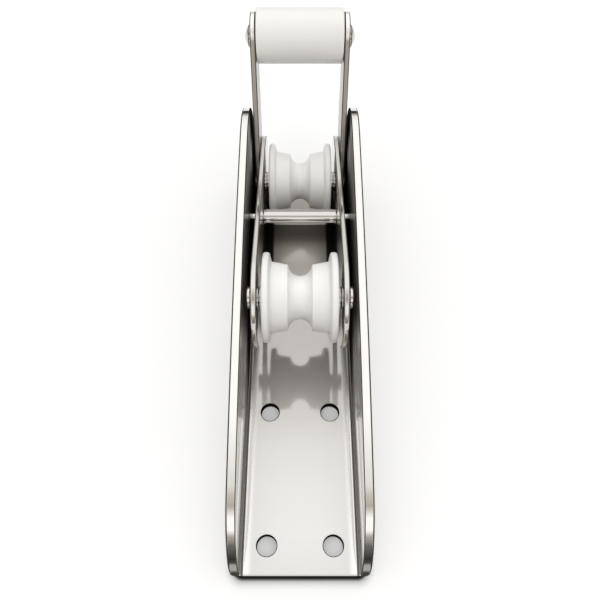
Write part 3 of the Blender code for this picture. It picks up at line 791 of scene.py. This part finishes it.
def buildRollers():
    corners, radii = groovedProfile()
    profile, facing = roundedProfile(corners, radii, True)
    for which, centre, body, nylon in (("rear", rearAxle, "rear_wheel", rollerNylon),
                                       ("front", frontAxle, "front_wheel", frontNylonPaintedLighter)):
        patch = turnedPatch(profile, facing, (0, centre[1], centre[2]), grooved["segments"])
        place(which + "GroovedRoller", [patch], nylon, body, "roller_nylon",
              [which + "_roller"])
    low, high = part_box("keeper_roller")
    radius = (high.z - low.z) / 2
    corners = [(low.x, keeper["bore"]), (low.x, radius), (high.x, radius), (high.x, keeper["bore"])]
    edges = [keeper["boreRound"], keeper["edge"], keeper["edge"], keeper["boreRound"]]
    profile, facing = roundedProfile(corners, edges, True, keeper["edgeSteps"])
    patch = turnedPatch(profile, facing, (0, keeperAxle[1], keeperAxle[2]), keeper["segments"])
    place("keeperRoller", [patch], keeperNylon, "keeper_wheel", "keeper_nylon", ["keeper_roller"])


buildRollers()
print("rollers turned")


# Turned steel: washers, collars, the cross tube and the screws

ring = {"edge": 0.00025, "edgeSteps": 3, "segments": 72, "axleBore": 0.0063, "screwBore": 0.0033}


def buildRing(name, node, bore, material, body, slot):
    low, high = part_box(node)
    outer = (high.z - low.z) / 2
    centre = centreOf(node)
    corners = [(low.x, bore), (low.x, outer), (high.x, outer), (high.x, bore)]
    profile, facing = roundedProfile(corners, [ring["edge"]] * 4, True, ring["edgeSteps"])
    patch = turnedPatch(profile, facing, (0, centre[1], centre[2]), ring["segments"])
    place(name, [patch], material, body, slot, [node])


for side in ("left", "right"):
    for which in ("rear", "front"):
        buildRing("%sWasher%s" % (which, side.title()), "%s_washer_%s" % (which, side),
                  ring["axleBore"], fastenerSteel, "rocker", "fastener_steel")
    buildRing("rearCollar" + side.title(), "rear_collar_" + side, ring["screwBore"], fastenerSteel,
              "rocker", "fastener_steel")
buildRing("crossTube", "pivot_tube", ring["screwBore"], cradleSteel, "rocker", "cradle_steel")

screw = {"shank": 0.003, "tipChamfer": 0.0005, "socket": 0.002, "socketMouth": 1.06,
         "socketChamfer": 0.0001, "socketCone": 0.0004, "coneTip": 0.02, "faceEnd": 1.5,
         "lowSocket": 0.0013, "lowRound": 0.0008, "domeRim": 0.0009, "domeSocket": 0.002,
         "domeRings": 14, "sharp": math.radians(34),
         "heads": {"rear": 0.0022, "front": 0.0022, "keeper": 0.0042, "pivot": 0.0033}}
nut = {"flats": 0.005, "chamfer": 0.0005, "corners": 1.02, "bore": 0.0030}
around = np.linspace(0, fullTurn, 97)


def hexagonRing(apothem):
    # the distance of a hexagon's side at every angle
    sixth = halfTurn / 3
    return apothem / np.cos(np.mod(around, sixth) - sixth / 2)


def stackRings(rings, sign, centre):
    # Rings of (radius at every angle, place along X) joined into one skin round an axis. The
    # outward direction is the cross product of the skin's two slopes.
    radii = np.stack([np.broadcast_to(r, around.shape) for r, _ in rings], 1)
    across = np.stack([np.broadcast_to(x, around.shape) for _, x in rings], 1)
    points = np.stack([sign * across, radii * np.cos(around)[:, None],
                       radii * np.sin(around)[:, None]], -1)
    outward = np.cross(np.gradient(points, axis=0), np.gradient(points, axis=1))
    outward = outward * np.sign((outward[:, 2] * points[:, 2] * np.array([0, 1, 1])).sum())
    return points + np.array([0, centre[1], centre[2]]), outward


def socketRings(top, depth, crown):
    # a hexagon socket in the middle of a head; crown gives the face's height at a radius
    hexagon = hexagonRing(screw["socket"])
    mouth = hexagon * screw["socketMouth"]
    floor = top - depth
    tip = floor - screw["socketCone"]
    return [(mouth, crown(mouth)), (hexagon, crown(hexagon) - screw["socketChamfer"]),
            (hexagon, floor), (hexagon * screw["coneTip"], tip), (0.0, tip)]


def buildScrew(name, node, which, sign, domed, material, body):
    low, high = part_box(node)
    radius = (high.z - low.z) / 2
    top = max(sign * low.x, sign * high.x)
    tip = min(sign * low.x, sign * high.x)
    seat = top - screw["heads"][which]
    # a cap's sphere, from its rise and the radius of its rim
    rise = screw["heads"][which] - screw["domeRim"]
    ball = (rise ** 2 + radius ** 2) / (2 * rise)
    chamfer, faceEnd = screw["tipChamfer"], screw["socket"] * screw["faceEnd"]
    shank = [(screw["shank"] - chamfer, tip), (screw["shank"], tip + chamfer), (screw["shank"], seat)]
    if domed:
        depth = screw["domeSocket"]

        def crown(r):
            return top - ball + np.sqrt(ball ** 2 - r ** 2)

        flow = np.linspace(radius, faceEnd, screw["domeRings"])
        head = [(radius, seat)] + [(r, crown(r)) for r in flow]
    else:
        depth = screw["lowSocket"]

        def crown(r):
            return top + 0 * r

        corners = [(seat, screw["shank"]), (seat, radius), (top, radius), (top, faceEnd)]
        profile, _ = roundedProfile(corners, [0, ring["edge"], screw["lowRound"], 0], False)
        head = [(r, x) for x, r in profile[1:]]
    rings = [(0.0, tip)] + shank + head + socketRings(top, depth, crown)
    place(name, [stackRings(rings, sign, centreOf(node))], material, body, "fastener_steel", [node],
          screw["sharp"])


def buildNut():
    low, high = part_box("pivot_nut")
    hexagon = hexagonRing(nut["flats"])
    circle = np.minimum(hexagon, nut["flats"] * nut["corners"])
    rings = [(nut["bore"], low.x), (circle, low.x), (hexagon, low.x + nut["chamfer"]),
             (hexagon, high.x - nut["chamfer"]), (circle, high.x), (nut["bore"], high.x),
             (nut["bore"], low.x)]
    place("pivotNut", [stackRings(rings, 1, centreOf("pivot_nut"))], fastenerSteel, "base",
          "fastener_steel", ["pivot_nut"], screw["sharp"])


for side, sign in (("left", -1), ("right", 1)):
    for which, body in (("rear", "rocker"), ("front", "rocker"), ("keeper", "bail")):
        buildScrew(which + "Screw" + side.title(), "%s_screw_%s" % (which, side), which, sign,
                   which == "keeper", fastenerSteel, body)
buildScrew("pivotBolt", "pivot_bolt", "pivot", -1, True, fastenerSteel, "base")
buildNut()
print("fasteners turned")

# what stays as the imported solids: the axles inside the rollers
for node in ("rear_axle", "front_axle", "keeper_axle"):
    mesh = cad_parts[node].data
    mesh.materials.clear()
    mesh.materials.append(fastenerSteel)


# Stage, light and camera

stage = {
    "floorSize": 6.0, "floorTone": 0.66, "floorMottle": 0.01, "floorGlow": 0.28,
    "contactCorner": 0.005, "contactInset": 1.5, "contactScale": 62.5, "contactStart": 0.375,
    "contactShadow": ((0.05, 1.0), (0.14, 0.02), (0.41, 0.02), (0.465, 0.22), (0.52, 0.62), (0.63, 0.84),
                (0.82, 1.0)),
    "domeRadius": 2.9, "domeSteps": (96, 24), "domeTone": 0.985,
    "lampPower": 4.0, "lampSize": 1.4, "lampPlace": (0.0, -0.15, 1.5),
}


def buildStage():
    board = Board(bpy.data.materials.new("paleFloor"))
    where = board.coordinates()
    mottle = board.noise(where, 3.0)
    light, dark = stage["floorTone"], stage["floorTone"] - stage["floorMottle"]
    colour = board.mixColour(mottle, (light, light, light, 1), (dark, dark, dark, 1))
    # A painted contact shadow: the dark line where the channel's foot meets the floor, by the
    # distance from a rectangle with rounded corners. It also dims the floor's glow there.
    x, y, _ = board.parts(where)
    low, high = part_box("base_channel")
    corner = stage["contactCorner"]
    beside = (x.size() - (high.x - corner * stage["contactInset"])).atLeast(0.0)
    beyond = ((low.y - y).atLeast(y - high.y) + corner).atLeast(0.0)
    away = x.maths("SQRT", beside * beside + beyond * beyond) - corner
    contactShadow = board.ramp(away * stage["contactScale"] + stage["contactStart"], *stage["contactShadow"])
    colour = board.mixColour(contactShadow, (0, 0, 0, 1), colour)
    material = board.finish("Principled BSDF", {
        "Base Color": colour, "Roughness": 0.9, "Specular IOR Level": 0.1,
        "Emission Color": contactShadow, "Emission Strength": stage["floorGlow"]})
    half = stage["floorSize"] / 2
    mesh = bpy.data.meshes.new("floor")
    corners = [(-half, -half, 0), (half, -half, 0), (half, half, 0), (-half, half, 0)]
    mesh.from_pydata(corners, [], [(0, 1, 2, 3)])
    mesh.materials.append(material)
    floor = bpy.data.objects.new("floor", mesh)
    bpy.context.scene.collection.objects.link(floor)


def buildBackdrop():
    # A pale dome round the floor, that only the camera sees: the points of a hemisphere by angle
    # round and angle up.
    roundSteps, upSteps = stage["domeSteps"]
    turns, climbs = np.meshgrid(np.linspace(0, fullTurn, roundSteps + 1),
                                np.linspace(0, halfTurn / 2, upSteps + 1), indexing="ij")
    outward = np.stack([np.cos(turns) * np.cos(climbs), np.sin(turns) * np.cos(climbs),
                        np.sin(climbs)], -1)
    mesh = weld("backdrop", [(outward * stage["domeRadius"], -outward)])
    board = Board(bpy.data.materials.new("paleBackdrop"))
    dim = stage["domeTone"]
    tone = board.mixColour(board.noise(board.coordinates(), 1.0), (1, 1, 1, 1), (dim, dim, dim, 1))
    mesh.materials.append(board.finish("Principled BSDF", {
        "Base Color": (0, 0, 0, 1), "Specular IOR Level": 0.0, "Emission Color": tone,
        "Emission Strength": 1.0}))
    dome = bpy.data.objects.new("backdrop", mesh)
    bpy.context.scene.collection.objects.link(dome)
    dome.visible_diffuse = dome.visible_glossy = dome.visible_transmission = False
    dome.visible_shadow = False


def buildLamp():
    # a large soft panel overhead that lights the white parts and isn't mirrored in the steel
    light = bpy.data.lights.new("panel", "AREA")
    light.size = stage["lampSize"]
    light.energy = stage["lampPower"]
    lamp = bpy.data.objects.new("panel", light)
    lamp.location = stage["lampPlace"]
    lamp.visible_glossy = False
    bpy.context.scene.collection.objects.link(lamp)


room = {
    "strength": 1.32,
    "over": ((0.0, (0.02, 0.018, 0.015, 1)), (0.05, (0.05, 0.045, 0.038, 1)),
             (0.09, (0.42, 0.40, 0.37, 1)), (0.13, (0.80, 0.79, 0.77, 1)), (0.22, 0.95), (0.31, 1.0),
             (0.55, 1.0), (0.60, (0.76, 0.75, 0.73, 1)), (0.65, (0.53, 0.505, 0.465, 1)),
             (0.70, (0.42, 0.395, 0.36, 1)), (0.75, (0.72, 0.705, 0.68, 1)), (0.79, 0.98),
             (0.88, 0.98), (0.93, (0.42, 0.39, 0.35, 1)), (0.97, (0.28, 0.255, 0.22, 1))),
    "sides": ((0.0, (0.02, 0.018, 0.015, 1)), (0.22, (0.09, 0.082, 0.072, 1)),
              (0.45, (0.60, 0.58, 0.55, 1)), (0.62, 1.0)),
    "sideStart": 0.35, "sideEnd": 0.8,
}


def buildWorld():
    # The room that the steel mirrors, by the angle from the outboard horizon over the top: dark
    # low down, a wide bright ceiling, a warm grey gap, a strip light behind the viewer and warm
    # grey below it. Off to the sides it follows the height alone, dark low down.
    world = bpy.data.worlds.new("studio")
    bpy.context.scene.world = world
    board = Board(world)
    x, y, z = board.parts(board.node("ShaderNodeTexCoord", {}, {}, "Generated"))
    turn = z.maths("ARCTAN2", z, y) * (1 / halfTurn)
    colour = board.mixColour(board.smooth(x.size(), room["sideStart"], room["sideEnd"]),
                             board.ramp(turn, *room["over"]), board.ramp(z, *room["sides"]))
    board.finish("Background", {"Color": colour, "Strength": room["strength"]})


camera = {"place": (0.0, -0.11255, 0.4183), "pitch": math.radians(90 - 58.46), "lens": 36.0,
          "sensor": 36.0}


def buildCamera():
    lens = bpy.data.cameras.new("camera")
    lens.lens = camera["lens"]
    lens.sensor_width = camera["sensor"]
    lens.clip_start = 0.01
    eye = bpy.data.objects.new("camera", lens)
    eye.location = camera["place"]
    eye.rotation_euler = (camera["pitch"], 0, 0)
    bpy.context.scene.collection.objects.link(eye)
    bpy.context.scene.camera = eye
    bpy.context.scene.view_settings.view_transform = "Standard"


buildStage()
buildBackdrop()
buildLamp()
buildWorld()
buildCamera()
print("scene ready")
